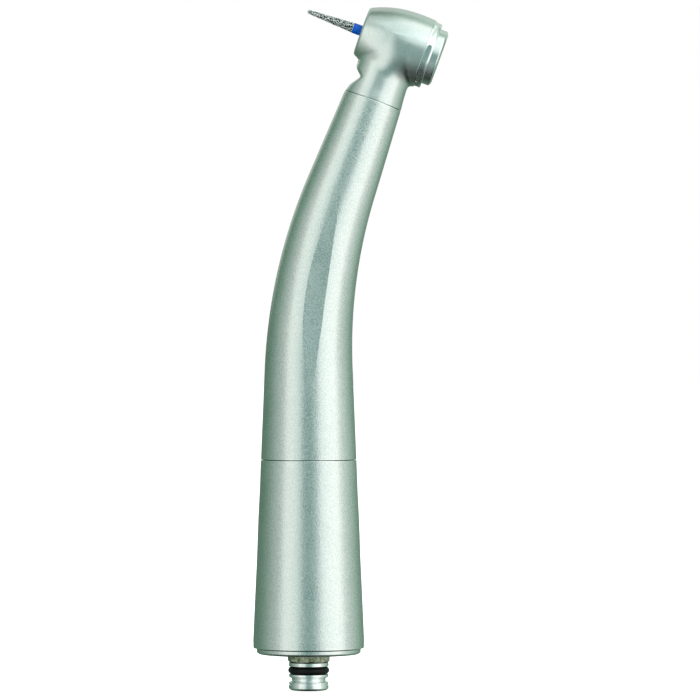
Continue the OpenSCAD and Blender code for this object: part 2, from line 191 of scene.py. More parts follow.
def link(name, data):
    obj = bpy.data.objects.new(name, data)
    bpy.context.scene.collection.objects.link(obj)
    return obj


def to_object(name, verts, faces, wear_and_highlight=None, sharp=SHARP):
    mesh = bpy.data.meshes.new(name)
    mesh.from_pydata((np.array(verts, float) * MM).tolist(), [], [list(f) for f in faces])
    if wear_and_highlight is not None:
        mark(mesh, "wear_and_highlight", wear_and_highlight)
    bm = bmesh.new()
    bm.from_mesh(mesh)
    bmesh.ops.recalc_face_normals(bm, faces=bm.faces)
    bm.to_mesh(mesh)
    bm.free()
    shade(mesh, sharp)
    return link(name, mesh)


def lathe_data(outline, place, segments, closed):
    """Vertices, faces and wear of an outline turned round the z axis of place."""
    verts, faces, wear_and_highlight, rows = [], [], [], []
    for r, z, w in outline:
        if r < 1e-6:
            rows.append([len(verts)])
            verts.append(place @ Vector((0, 0, z)))
            wear_and_highlight.append(w)
            continue
        rows.append(list(range(len(verts), len(verts) + segments)))
        for k in range(segments):
            a = 2 * math.pi * k / segments
            verts.append(place @ Vector((r * math.cos(a), r * math.sin(a), z)))
            wear_and_highlight.append(w)
    pairs = list(zip(rows, rows[1:])) + ([(rows[-1], rows[0])] if closed else [])
    for low, high in pairs:
        for k in range(segments):
            n = (k + 1) % segments
            below = [low[k % len(low)], low[n % len(low)]]
            above = [high[n % len(high)], high[k % len(high)]]
            quad = list(dict.fromkeys(below + above))
            if len(quad) > 2:
                faces.append(quad)
    return verts, faces, wear_and_highlight


def lathe(name, corners, place=BODY_FRAME, segments=128, closed=True):
    return to_object(name, *lathe_data(rounded(corners, closed), place, segments, closed))


def carve(obj, cutter, operation="DIFFERENCE"):
    """Applies a boolean of cutter to obj and removes the cutter."""
    modifier = obj.modifiers.new("cut", "BOOLEAN")
    modifier.operation = operation
    modifier.solver = "EXACT"
    modifier.object = cutter
    graph = bpy.context.evaluated_depsgraph_get()
    mesh = bpy.data.meshes.new_from_object(obj.evaluated_get(graph))
    obj.modifiers.clear()
    obj.data = mesh
    bpy.data.objects.remove(cutter)
    shade(mesh, SHARP)
    return obj


FINE_BEVEL = 0.03


def soften(obj):
    """A fine bevel along every sharp edge."""
    modifier = obj.modifiers.new("soft_edges", "BEVEL")
    modifier.width = FINE_BEVEL * MM
    modifier.segments = 2
    modifier.limit_method = "ANGLE"
    modifier.angle_limit = math.radians(SHARP)
    modifier.harden_normals = True
    return obj


# ---------- Implicit surface of the head ----------

def smooth_min(a, b, k):
    h = np.clip(0.5 + 0.5 * (b - a) / k, 0, 1)
    return b + (a - b) * h - k * h * (1 - h)


def smooth_max(a, b, k):
    return -smooth_min(-a, -b, k)


# The barrel's radius along the bur's axis
BARREL = [
    (-6.5, 5.30), (-5.05, 5.44), (-3.5, 5.52), (-1.65, 5.51), (1.45, 5.11), (3.7, 4.41),
    (5.15, 3.78), (6.2, 3.3),
]
# The neck's radius down its length, and the height of its side towards the bur, scoop included
NECK = [(0, 4.3), (4.8, 4.32), (6.2, 4.36), (7.8, 4.44), (9.55, 4.60), (11.3, 4.66)]
SHOULDER = [
    (0, 4.6), (4.4, 4.55), (4.9, 4.45), (5.4, 4.32), (5.85, 3.88), (6.55, 3.16), (6.9, 3.10),
    (7.35, 3.36), (8.39, 4.14), (8.95, 4.44), (9.55, 4.80), (11.3, 5.2),
]
# How softly the barrel runs into the neck, along the bur's axis
BLEND = [
    (-6.5, 0.7), (-4.2, 0.8), (-2.5, 1.7), (0, 1.7), (1.2, 1.1), (2.3, 0.55), (3.6, 0.4),
    (4.3, 0.35), (6, 0.3),
]
FACE_ROUNDING = 0.45


def head_outside(x, y, z):
    barrel = np.hypot(x, y) - smooth_curve(BARREL, z)
    barrel = smooth_max(barrel, z - FACE, FACE_ROUNDING)
    ahead = z + LEAD
    neck = np.maximum(np.hypot(ahead, y) - smooth_curve(NECK, -x), x)
    neck = smooth_max(neck, (ahead - smooth_curve(SHOULDER, -x)) * 0.8, 0.5)
    return smooth_min(barrel, neck, smooth_curve(BLEND, ahead))


def within(value, low, high):
    """Negative between low and high, positive outside them."""
    return np.maximum(low - value, value - high)


def head_inside(x, y, z):
    rho = np.hypot(x, y)
    rooms = [
        np.maximum(rho - 4.31, z + 1.06),                     # cap's thread
        np.maximum(rho - 4.30, within(z, -1.75, 1.75)),       # turbine
        np.maximum(rho - 3.30, within(z, -1.0, 4.55)),        # front bearing
        np.maximum(rho - 2.30, within(z, 0.0, 9.0)),          # opening round the bur
        np.maximum(np.hypot(y, z + LEAD) - 3.0, 8.65 + x),    # neck's bore
    ]
    room = rooms[0]
    for other in rooms[1:]:
        room = np.minimum(room, other)
    return room


WINDOW_AT = (7.81, 3.72)      # down the neck, towards the bur
WINDOW_TILT = math.radians(53)
WINDOW_R = 1.05
PORT_AT = (-4.95, 1.2)        # spray ports in the head frame: x, and y to either side
PORT_R = 0.27
PORT_FLOOR = 3.4


def window_coordinates(x, z):
    """Distances along and across the window's own axis, from its face."""
    out_x, out_z = math.cos(WINDOW_TILT), math.sin(WINDOW_TILT)
    dx, dz = x + WINDOW_AT[0], z + LEAD - WINDOW_AT[1]
    return dx * out_x + dz * out_z, -dx * out_z + dz * out_x


def head_field(x, y, z):
    solid = smooth_max(head_outside(x, y, z), -head_inside(x, y, z), 0.12)
    along, across = window_coordinates(x, z)
    pocket = np.maximum(np.hypot(across, y) - WINDOW_R - 0.05, -1.2 - along)
    solid = smooth_max(solid, -pocket, 0.10)
    for side in (-1, 1):
        port = np.hypot(x - PORT_AT[0], y - side * PORT_AT[1]) - PORT_R
        port = np.maximum(port, PORT_FLOOR - z)
        solid = smooth_max(solid, -port, 0.06)
    return solid


def gradient(field, points, step=0.01):
    out = []
    for axis in range(3):
        d = np.zeros(3)
        d[axis] = step
        out.append((field(*(points + d).T) - field(*(points - d).T)) / (2 * step))
    return np.stack(out, -1)


def surface_net(field, low, high, step):
    """A quad mesh of the field's zero surface, each vertex pulled onto it."""
    axes = [np.arange(a, b + step, step) for a, b in zip(low, high)]
    grid = field(*np.meshgrid(*axes, indexing="ij"))
    cells = tuple(n - 1 for n in grid.shape)
    total = np.zeros(cells + (3,))
    hits = np.zeros(cells)
    crossings = []
    for axis in range(3):
        here = np.take(grid, range(grid.shape[axis] - 1), axis)
        there = np.take(grid, range(1, grid.shape[axis]), axis)
        index = np.argwhere((here < 0) != (there < 0))
        a, b = here[tuple(index.T)], there[tuple(index.T)]
        place = index.astype(float)
        place[:, axis] += a / (a - b)
        others = [k for k in range(3) if k != axis]
        around = []
        for back in ((0, 0), (1, 0), (1, 1), (0, 1)):
            cell = index.copy()
            cell[:, others[0]] -= back[0]
            cell[:, others[1]] -= back[1]
            good = np.all((cell >= 0) & (cell < np.array(cells)), axis=1)
            np.add.at(total, tuple(cell[good].T), place[good])
            np.add.at(hits, tuple(cell[good].T), 1)
            around.append((cell, good))
        crossings.append((around, a < 0, axis))
    used = np.argwhere(hits > 0)
    number = -np.ones(cells, int)
    number[tuple(used.T)] = np.arange(len(used))
    middles = total[tuple(used.T)] / hits[tuple(used.T)][:, None]
    points = middles * step + np.array([a[0] for a in axes])
    for _ in range(4):
        g = gradient(field, points)
        value = field(*points.T)
        move = g * (value / np.maximum((g * g).sum(1), 0.2))[:, None]
        points = points - np.clip(move, -step / 2, step / 2)
    faces = []
    for around, inside_first, axis in crossings:
        good = np.all([g for _, g in around], axis=0)
        quads = np.stack([number[tuple(c[good].T)] for c, _ in around], 1)
        flip = inside_first[good] ^ (axis == 1)
        quads[flip] = quads[flip][:, ::-1]
        faces.append(quads)
    return points, np.concatenate(faces)


def trim(bm, plane_point, plane_normal, place):
    """Cuts the mesh at a plane of place, drops what is beyond, and closes the cut with a flat ring."""
    point = place @ Vector(plane_point) * MM
    normal = place.to_3x3() @ Vector(plane_normal)

    def on_plane(edge):
        return all(abs((v.co - point).dot(normal)) < 1e-6 for v in edge.verts)

    geometry = bm.verts[:] + bm.edges[:] + bm.faces[:]
    plane = {"plane_co": point, "plane_no": normal}
    bmesh.ops.bisect_plane(bm, geom=geometry, dist=1e-7, clear_outer=True, **plane)
    bmesh.ops.bridge_loops(bm, edges=[e for e in bm.edges if e.is_boundary and on_plane(e)])


SEAM_GAP = 0.005
HEAD_LOW, HEAD_HIGH = (-12.0, -5.9, -6.4), (5.9, 5.9, 5.6)


def build_head():
    step = 0.11
    points, faces = surface_net(head_field, HEAD_LOW, HEAD_HIGH, step)
    head = to_object("head_shell", [HEAD_FRAME @ Vector(p) for p in points], faces)
    bm = bmesh.new()
    bm.from_mesh(head.data)
    trim(bm, (0, 0, BARREL_REAR + SEAM_GAP), (0, 0, -1), HEAD_FRAME)
    trim(bm, (-NECK_SEAM, 0, 0), (-1, 0, 0), HEAD_FRAME)
    bmesh.ops.recalc_face_normals(bm, faces=bm.faces)
    bm.to_mesh(head.data)
    bm.free()
    shade(head.data, 40)
    mark(head.data, "calm", np.ones(len(head.data.vertices)))
    return head


def build_spigot():
    """The neck's sleeve inside the body, which closes the view through the seam."""
    low, high = -NECK_SEAM - 3, -NECK_SEAM + 0.3
    outline = [(3.0, low, 0.1), (3.75, low, 0.1), (3.75, high, 0), (3.0, high, 0)]
    return lathe("neck_spigot", outline, NECK_FRAME, 96)


# ---------- Cap, button ----------

CAP_CORNERS = [
    (4.28, BARREL_REAR, 0), (5.42, BARREL_REAR, 0.07), (5.30, -5.95, 0.5), (5.08, CAP_REAR, 0.16),
    (4.50, CAP_REAR, 0.08), (4.50, -5.25, 0.05), (3.95, -5.25, 0.05), (3.95, -4.75, 0.05),
    (1.5, -4.75, 0.05), (1.5, -4.45, 0.05), (3.3, -4.45, 0.05), (3.3, -1.9, 0.05), (4.28, -1.9, 0.05),
]
NOTCH_COUNT = 8
NOTCH_TURN = math.radians(-92)            # of the notch that faces the camera
NOTCH_HALF_LENGTH, NOTCH_HALF_WIDTH = 1.42, 0.37
NOTCH_FLOOR, NOTCH_TOP = 5.12, 6.0        # radii
NOTCH_AT = -5.70                          # station along the bur's axis
NOTCH_STEPS = 12


def build_cap():
    cap = lathe("cap_ring", CAP_CORNERS, HEAD_FRAME, 160)
    for i in range(NOTCH_COUNT):
        carve(cap, notch_cutter(NOTCH_TURN + 2 * math.pi * i / NOTCH_COUNT))
    return soften(cap)


def notch_cutter(turn):
    """A pill-shaped prism that mills one wrench notch into the cap ring."""
    reach = NOTCH_HALF_LENGTH - NOTCH_HALF_WIDTH
    outline = []
    for end, start in ((1, -90), (-1, 90)):
        for k in range(NOTCH_STEPS + 1):
            a = math.radians(start + 180 * k / NOTCH_STEPS)
            along = end * reach + NOTCH_HALF_WIDTH * math.cos(a)
            outline.append((along, NOTCH_AT + NOTCH_HALF_WIDTH * math.sin(a)))
    place = HEAD_FRAME @ Matrix.Rotation(turn, 4, "Z")
    verts = [place @ Vector((x, y, z)) for x in (NOTCH_FLOOR, NOTCH_TOP) for y, z in outline]
    return to_object("cutter", verts, prism_faces(len(outline)))


def prism_faces(n):
    """Faces of a prism whose one end is the first n vertices and whose other end is the next n."""
    sides = [[k, (k + 1) % n, n + (k + 1) % n, n + k] for k in range(n)]
    return sides + [list(range(n))[::-1], [n + k for k in range(n)]]


def build_button():
    return lathe("button_shell", [
        (0, BUTTON_FACE - 0.02, 0), (2.4, BUTTON_FACE - 0.015, 0.3), (2.62, BUTTON_FACE + 0.06, 0.1),
        (2.84, BUTTON_FACE, 0.3), (3.85, BUTTON_FACE, 0.25), (4.42, BUTTON_FACE + 0.26, 0.25),
        (4.42, -6.1, 0.06), (3.92, -6.1, 0.06), (3.92, -6.85, 0.1), (1.3, -6.85, 0.1),
        (1.3, -5, 0.1), (0, -5, 0),
    ], HEAD_FRAME, closed=False)


# ---------- Body, sleeve, rear end ----------

# Finger flats: stations along the centre line, angles round it from the outside of the bend
FLAT_START, FLAT_END = 46.8, 77.0
FLAT_HALF = math.radians(14)
FLAT_HALF_LEAST = math.radians(1.2)       # for the columns' spacing, where there is no flat
FLAT_CENTRES = (math.radians(87), math.radians(273))
FLAT_DEPTH = 1.15             # how much deeper than a plane the scooped floor is
FLAT_ENDS = 0.85              # how pointed the flats' ends are
# Painted highlight: how much the finger flats' edges are lightened, as a bright line along them
FLAT_EDGE_HIGHLIGHT = 0.7
FLAT_COLUMNS = 14
SIDE_COLUMNS = 66
EDGE = math.radians(0.8)      # space between the columns on both sides of a flat's edge
ON_EDGE = [True] + [False] * FLAT_COLUMNS + [True] + [False] * SIDE_COLUMNS
FLAT_EDGES = np.array(ON_EDGE * len(FLAT_CENTRES))


def flat_half(s):
    u = (2 * s - FLAT_START - FLAT_END) / (FLAT_END - FLAT_START)
    return FLAT_HALF * np.maximum(1 - u * u, 0) ** FLAT_ENDS


def body_columns(s):
    """Angles round the section at s, with columns on both edges of each finger flat."""
    half = max(float(flat_half(s)), FLAT_HALF_LEAST)
    angles = []
    for i, centre in enumerate(FLAT_CENTRES):
        following = FLAT_CENTRES[1 - i] + (2 * math.pi if i else 0)
        floor = centre + (half - EDGE) * np.linspace(-1, 1, FLAT_COLUMNS)
        angles += [centre - half] + list(floor) + [centre + half]
        start, end = centre + half + EDGE, following - half - EDGE
        angles += list(np.linspace(start, end, SIDE_COLUMNS))
    return np.array(angles)


def shell_radius(s, angles):
    """Radius of the body at s, scooped where the finger flats are."""
    r = float(body_r(s))
    half = float(flat_half(s))
    out = np.full(len(angles), r)
    if half < 1e-4:
        return out
    for centre in FLAT_CENTRES:
        off = np.abs((angles - centre + math.pi) % (2 * math.pi) - math.pi)
        depth = r * (1 - math.cos(half) / np.cos(np.minimum(off, half))) * FLAT_DEPTH
        out = out - np.where(off < half, depth, 0)
    return out


LIP = 0.07                    # rounding at the body's two seams
LIP_STEPS = 4


def body_rows():
    """(station, inset, wear) of every row of the body: up its outside, over the top and down inside."""
    start, end = SLEEVE_SEAM + 0.1, SEAM_S - 0.1
    turns = [math.pi / 2 * k / LIP_STEPS for k in range(LIP_STEPS + 1)]
    rows = [(start, -WALL, 0), (start, -LIP, 0)]
    rows += [(start + LIP * (1 - math.cos(a)), -LIP * (1 - math.sin(a)), 1) for a in turns[1:]]
    rows += [(s, 0, 0) for s in np.linspace(start + 0.2, FLAT_START - 0.6, 20)]
    rows += [(s, 0, 0) for s in np.linspace(FLAT_START, FLAT_END, 150)]
    rows += [(s, 0, 0) for s in np.linspace(FLAT_END + 0.4, end - 0.2, 36)]
    rows += [(end - LIP * (1 - math.sin(a)), -LIP * (1 - math.cos(a)), 1) for a in turns]
    rows += [(end, -WALL, 0)]
    return rows + [(s, -WALL, 0) for s in np.linspace(end - 1, start + 1, 40)]


def build_body():
    rows = body_rows()
    verts, wear_and_highlight = [], []
    for s, inset, w in rows:
        angles = body_columns(s)
        outside = inset > -WALL
        around = np.full(len(angles), float(body_r(s)))
        radius = (shell_radius(s, angles) if outside else around) + inset
        station = np.full(len(angles), s)
        verts.append(beside(station, radius * np.cos(angles), radius * np.sin(angles)))
        on_flat = FLAT_START < s < FLAT_END and outside
        # The finger flats' edges get a painted highlight on top of the rubbed lips' wear
        wear_and_highlight += list(np.maximum(w, FLAT_EDGES * FLAT_EDGE_HIGHLIGHT * on_flat))
    columns = len(verts[0])
    faces = []
    for i in range(len(rows)):
        row, above = i * columns, (i + 1) % len(rows) * columns
        for k in range(columns):
            n = (k + 1) % columns
            faces.append([row + k, row + n, above + n, above + k])
    return to_object("body_shell_skin", np.concatenate(verts), faces, wear_and_highlight, sharp=60)


SLEEVE_BORE = 6.5
TANG_R = 2.62                 # bore of the end ring and the hexagonal collar


def build_sleeve():
    low = box_mm("rear_sleeve")[0].z
    rim = box_mm("rear_sleeve")[1].x
    top = SLEEVE_SEAM
    return lathe("sleeve_shell", [
        (SLEEVE_BORE, low, 0.1), (rim - 0.02, low, 0.14), (rim, low + 1.25, 0.4), (8.33, 13.95, 30),
        (8.04, 20.15, 60), (7.82, 26.35, 60), (7.58, 31.0, 60), (SEAM_R + 0.01, top, 0.07),
        (6.3, top, 0.05), (6.3, top + 3.5, 0.15), (5.63, top + 3.5, 0.15), (5.63, top - 4, 0.2),
        (SLEEVE_BORE, top - 5, 0.2),
    ], segments=192)


def build_end_ring():
    low, high = box_mm("end_ring")
    top = box_mm("rear_sleeve")[0].z - 0.1
    return lathe("end_ring_shell", [
        (TANG_R, low.z, 0.05), (3.6, low.z, 0.15), (6.3, low.z + 0.20, 0.3), (7.7, low.z + 0.32, 0.3),
        (high.x, low.z + 0.60, 0.25), (high.x, top, 0.06), (6.45, top, 0.05), (6.45, high.z, 0.2),
        (TANG_R, high.z, 0.2),
    ], segments=192)


HEX_R = 3.50                  # across the corners
HEX_TURN = -21                # degrees from +x to the nearest corner


def build_hex():
    low, high = box_mm("hex_collar")
    turns = [math.radians(60 * k + HEX_TURN) for k in range(6)]
    corners = [(HEX_R * math.cos(a), HEX_R * math.sin(a)) for a in turns]
    verts = [(x, y, z) for z in (low.z, high.z) for x, y in corners]
    collar = to_object("hex_collar_shell", verts, prism_faces(6))
    clear = HEX_R + 0.02
    turned = lathe("cutter", [
        (0, low.z, 0), (HEX_R - 0.42, low.z, 0), (clear, low.z + 0.24, 0), (clear, high.z, 0),
        (0, high.z, 0),
    ], closed=False)
    carve(collar, turned, "INTERSECT")
    start, end = low.z - 1, high.z + 1
    bore = [(0, start, 0), (TANG_R, start, 0), (TANG_R, end, 0), (0, end, 0)]
    return soften(carve(collar, lathe("cutter", bore, closed=False)))


STUB_R = 3.08
STUB_GROOVE_R = 2.6
STUB_TOP = 11.9
# Channels in the stub's rear face: x, y, radius
STUB_PORTS = [
    (0.8, 1.05, 0.75), (0.8, -1.05, 0.75), (-0.95, 1.75, 0.25), (-0.95, -1.75, 0.25), (-1.35, 0, 0.7),
]


def build_stub():
    top = box_mm("hex_collar")[0].z - 0.02
    r, groove = STUB_R, STUB_GROOVE_R
    stub = lathe("stub_shell", [
        (0, 0, 0), (r - 0.35, 0, 0.1), (r, 0.30, 0.25), (r, 0.80, 0.03), (r - 0.16, 0.92, 0.01),
        (r, 1.08, 0.03), (r, 1.22, 0.08), (2.62, 1.46, 0.15), (groove, 1.82, 0.15),
        (r - 0.05, 2.08, 0.12), (r, 2.48, 0.06), (groove, 2.48, 0.08), (groove, 3.72, 0.08),
        (r, 3.72, 0.06), (r, top - 0.1, 0.08), (groove, top, 0.02), (groove, STUB_TOP, 0.1),
        (0, STUB_TOP, 0),
    ], closed=False)
    for x, y, radius in STUB_PORTS:
        flared = radius + 0.1
        drill = lathe("cutter", [
            (0, -1, 0), (flared, -1, 0), (flared, 0.0, 0), (radius, 0.1, 0), (radius, 13, 0), (0, 13, 0),
        ], Matrix.Translation((x, y, 0)), 48, closed=False)
        carve(stub, drill)
    return stub


SEAL_AT = (2.62, 3.1)         # radius and height of its section's middle
SEAL_SECTION_R = 0.57
SEAL_STEPS = 32


def build_seal():
    corners = []
    for k in range(SEAL_STEPS + 1):
        a = math.radians(-90 + 180 * k / SEAL_STEPS)
        radius = SEAL_AT[0] + SEAL_SECTION_R * math.cos(a)
        corners.append((radius, SEAL_AT[1] + SEAL_SECTION_R * math.sin(a), 0))
    return lathe("stub_seal", corners)


# ---------- Bur ----------

BAND_LEN = 1.4
GRIT_LEN = 7.5
GRIT_R, GRIT_TIP_R = 0.78, 0.33
SHANK_R = 0.8
SHANK_HELD = 7.4              # length of the shank inside the head


def build_bur_shank():
    rear, grit = FACE - SHANK_HELD, FACE + BAND_LEN
    tip = grit + GRIT_LEN
    return lathe("bur_shank_rod", [
        (0, rear, 0), (0.62, rear, 0.1), (SHANK_R, rear + 0.25, 0.1), (SHANK_R, FACE - 0.05, 0.02),
        (0.72, FACE, 0.02), (0.72, grit, 0.02), (0.60, grit + 0.05, 0.05), (0.18, tip - 0.6, 0.1),
        (0, tip - 0.5, 0),
    ], HEAD_FRAME, 64, closed=False)


def build_band():
    start, end = FACE + 0.03, FACE + BAND_LEN - 0.03
    return lathe("bur_colour_band", [
        (0.73, start, 0), (SHANK_R + 0.01, start, 0.05), (SHANK_R + 0.015, (start + end) / 2, 2),
        (SHANK_R + 0.01, end, 0.05), (0.73, end, 0),
    ], HEAD_FRAME, 64)


GRAIN = 0.095                 # radius of a diamond grain
TIP_GRAIN = GRAIN * 0.8
GRAIN_HEIGHT = 0.55           # height of a grain against its width
GRAIN_COUNT = 760
TIP_GRAIN_COUNT = 60
SINK = 0.05                   # how deep the nickel coat lies below the bur's outline
GOLDEN = math.pi * (3 - math.sqrt(5))
CRYSTAL = np.array([(1, 0, 0), (-1, 0, 0), (0, 1, 0), (0, -1, 0), (0, 0, 1), (0, 0, -1)], float)
CRYSTAL_FACES = [
    (0, 2, 4), (2, 1, 4), (1, 3, 4), (3, 0, 4), (2, 0, 5), (1, 2, 5), (3, 1, 5), (0, 3, 5),
]
GRIT_START = FACE + BAND_LEN
GRIT_CONE = GRIT_LEN - GRIT_TIP_R


def cone_height(share):
    """Height below which the cone has this share of its area."""
    slant = GRIT_R ** 2 - share * (GRIT_R ** 2 - GRIT_TIP_R ** 2)
    return GRIT_CONE * (GRIT_R - math.sqrt(slant)) / (GRIT_R - GRIT_TIP_R)


def build_grit():
    """The nickel coat as a tapered rod with a rounded point, and every diamond grain set into it."""
    start, end = GRIT_START, GRIT_START + GRIT_LEN - SINK
    coat = rounded([
        (0.55, start, 0), (GRIT_R - SINK, start, 0.06), (GRIT_TIP_R - SINK, start + GRIT_CONE, 0.25),
        (0.12, end - 0.02, 0.1), (0, end, 0),
    ], False)
    verts, faces, _ = lathe_data([(0, start, 0)] + coat, BODY_FRAME, 48, False)
    rng = np.random.default_rng(11)
    bond = len(verts)
    for i in range(GRAIN_COUNT):
        z = cone_height((i + 0.5) / GRAIN_COUNT)
        r = GRIT_R + (GRIT_TIP_R - GRIT_R) * z / GRIT_CONE - SINK * 0.7
        a = i * GOLDEN + rng.normal(0, 0.25)
        outward = Vector((math.cos(a), math.sin(a), 0.06))
        centre = Vector((r * outward.x, r * outward.y, start + z + rng.normal(0, 0.03)))
        add_grain(verts, faces, centre, outward, rng, GRAIN)
    for i in range(TIP_GRAIN_COUNT):
        up = rng.uniform(0, 1)
        a = i * GOLDEN
        flat = math.sqrt(1 - up * up)
        outward = Vector((flat * math.cos(a), flat * math.sin(a), up))
        centre = Vector((0, 0, start + GRIT_CONE)) + outward * (GRIT_TIP_R - SINK)
        add_grain(verts, faces, centre, outward, rng, TIP_GRAIN)
    wear_and_highlight = np.arange(len(verts)) >= bond
    verts = [HEAD_FRAME @ v for v in verts]
    return to_object("bur_diamond_coat", verts, faces, wear_and_highlight, sharp=12)


def add_grain(verts, faces, centre, outward, rng, size):
    """A blocky crystal: an octahedron with its points pushed about, lying on the bond."""
    shape = CRYSTAL * rng.uniform(0.7, 1.25, (6, 1)) + rng.normal(0, 0.14, (6, 3))
    shape[:, 2] *= GRAIN_HEIGHT
    shape *= size * rng.uniform(0.75, 1.25)
    spin = Matrix.Rotation(rng.uniform(0, 2 * math.pi), 3, "Z")
    lie = outward.to_track_quat("Z", "Y").to_matrix() @ spin
    first = len(verts)
    verts.extend(lie @ Vector(p) + centre for p in shape)
    faces += [[first + k for k in side] for side in CRYSTAL_FACES]


def build_window():
    seat = Matrix.Translation((-WINDOW_AT[0], 0, WINDOW_AT[1] - LEAD))
    place = HEAD_FRAME @ seat @ Matrix.Rotation(math.pi / 2 - WINDOW_TILT, 4, "Y")
    return lathe("light_window_lens", [
        (0, 0.06, 0), (0.6, 0.04, 1), (WINDOW_R, -0.05, 0.08), (WINDOW_R, -1.15, 0.05), (0, -1.15, 0),
    ], place, 64, closed=False)


# ---------- Materials ----------

def ramp_stops(ramp, stops):
    """Gives a new colour ramp these (position, colour) stops."""
    elements = ramp.color_ramp.elements
    while len(elements) < len(stops):
        elements.new(0.5)
    for element, (position, colour) in zip(elements, stops):
        element.position = position
        element.color = (*colour, 1)


class Shader:
    """A node material under construction, with a Principled shader at its end."""

    def __init__(self, name):
        self.material = bpy.data.materials.new(name)
        self.material.use_nodes = True
        self.nodes = self.material.node_tree.nodes
        self.links = self.material.node_tree.links
        self.main = self.nodes["Principled BSDF"]
        self.place = self.nodes.new("ShaderNodeTexCoord").outputs["Object"]

    def set(self, **values):
        for name, value in values.items():
            self.main.inputs[name.replace("_", " ")].default_value = value
        return self

    def noise(self, size_mm, detail=2.0, stretch=(1, 1, 1)):
        """Noise whose features are about size_mm across."""
        mapping = self.nodes.new("ShaderNodeMapping")
        mapping.inputs["Scale"].default_value = stretch
        noise = self.nodes.new("ShaderNodeTexNoise")
        noise.inputs["Scale"].default_value = 1 / (size_mm * MM)
        noise.inputs["Detail"].default_value = detail
        self.links.new(self.place, mapping.inputs["Vector"])
        self.links.new(mapping.outputs["Vector"], noise.inputs["Vector"])
        return noise.outputs["Fac"]

    def between(self, value, low, high, start=0.3, end=0.7):
        """value mapped from start..end to low..high."""
        node = self.nodes.new("ShaderNodeMapRange")
        numbers = {"From Min": start, "From Max": end, "To Min": low, "To Max": high}
        for name, number in numbers.items():
            node.inputs[name].default_value = number
        self.links.new(value, node.inputs["Value"])
        return node.outputs["Result"]

    def colours(self, value, *stops):
        """A colour ramp of (position, colour) stops driven by value."""
        ramp = self.nodes.new("ShaderNodeValToRGB")
        ramp_stops(ramp, stops)
        self.links.new(value, ramp.inputs["Fac"])
        return ramp.outputs["Color"]

    def math(self, operation, a, b):
        node = self.nodes.new("ShaderNodeMath")
        node.operation = operation
        for socket, value in zip(node.inputs, (a, b)):
            if isinstance(value, (int, float)):
                socket.default_value = value
            else:
                self.links.new(value, socket)
        return node.outputs[0]

    def attribute(self, name):
        node = self.nodes.new("ShaderNodeAttribute")
        node.attribute_name = name
        return node.outputs["Fac"]

    def mix(self, factor, a, b):
        node = self.nodes.new("ShaderNodeMix")
        node.data_type = "RGBA"
        self.links.new(factor, node.inputs["Factor"])
        for socket, value in ((node.inputs[6], a), (node.inputs[7], b)):
            if isinstance(value, tuple):
                socket.default_value = (*value, 1)
            else:
                self.links.new(value, socket)
        return node.outputs[2]

    def to(self, socket, value):
        self.links.new(value, self.main.inputs[socket])
        return self

    def bump(self, height, depth_mm, strength=1.0):
        node = self.nodes.new("ShaderNodeBump")
        node.inputs["Distance"].default_value = depth_mm * MM
        node.inputs["Strength"].default_value = strength
        self.links.new(height, node.inputs["Height"])
        self.links.new(node.outputs["Normal"], self.main.inputs["Normal"])
        return self


def satin_titanium():
    """Titanium under fine bead blasting: a faint grain, fainter where "calm", bright where "wear_and_highlight":
    rubbed edges, and a painted highlight along the finger flats' edges.
    """
    s = Shader("satin_titanium").set(Metallic=1.0)
    keep = s.between(s.attribute("calm"), 1.0, 0.35, 0.0, 1.0)
    around_zero = s.math("SUBTRACT", s.noise(0.20, 0.5), 0.5)
    grain = s.math("ADD", s.math("MULTIPLY", around_zero, keep), 0.5)
    cloud = s.noise(6, 3)
    blend = s.math("ADD", s.math("MULTIPLY", grain, 0.85), s.math("MULTIPLY", cloud, 0.15))
    tone = s.colours(blend, (0.40, (0.71, 0.76, 0.74)), (0.60, (0.87, 0.90, 0.88)))
    # Rubbed edges turn lighter and smoother; along the finger flats' edges this lightening is a painted highlight
    worn_and_highlit = s.attribute("wear_and_highlight")
    s.to("Base Color", s.mix(worn_and_highlit, tone, (0.90, 0.93, 0.91)))
    rough = s.math("ADD", s.between(grain, 0.27, 0.34), s.between(cloud, -0.02, 0.02))
    s.to("Roughness", s.math("SUBTRACT", rough, s.math("MULTIPLY", worn_and_highlit, 0.06)))
    return s.bump(grain, 0.018, 0.8).material


def bright_steel(name, low, high, rough_low, rough_high, tone_mm=3, stretch=(1, 1, 1)):
    """Turned or polished steel with faint tool marks."""
    s = Shader(name).set(Metallic=1.0)
    marks = s.noise(0.2, 3, stretch)
    tone = s.colours(s.noise(tone_mm, 2), (0.3, low), (0.7, high))
    s.to("Base Color", s.mix(s.attribute("wear_and_highlight"), tone, (0.97, 0.98, 0.98)))
    s.to("Roughness", s.between(marks, rough_low, rough_high))
    return s.bump(marks, 0.004, 0.6).material


def seal_rubber():
    s = Shader("seal_rubber").set(Metallic=0.0, IOR=1.45, Specular_IOR_Level=0.22)
    dust = s.noise(0.5, 4)
    tone = s.colours(dust, (0.35, (0.004, 0.004, 0.004)), (0.75, (0.016, 0.017, 0.017)))
    s.to("Base Color", tone)
    s.to("Roughness", s.between(dust, 0.28, 0.42))
    return s.bump(s.noise(0.12, 2), 0.004, 0.5).material


def band_enamel():
    s = Shader("band_enamel").set(Metallic=0.0, IOR=1.45, Specular_IOR_Level=0.3)
    flow = s.noise(0.6, 2)
    s.to("Base Color", s.colours(flow, (0.3, (0.004, 0.10, 0.75)), (0.7, (0.012, 0.20, 0.98))))
    s.to("Roughness", s.between(flow, 0.22, 0.32))
    return s.bump(flow, 0.01, 0.5).material


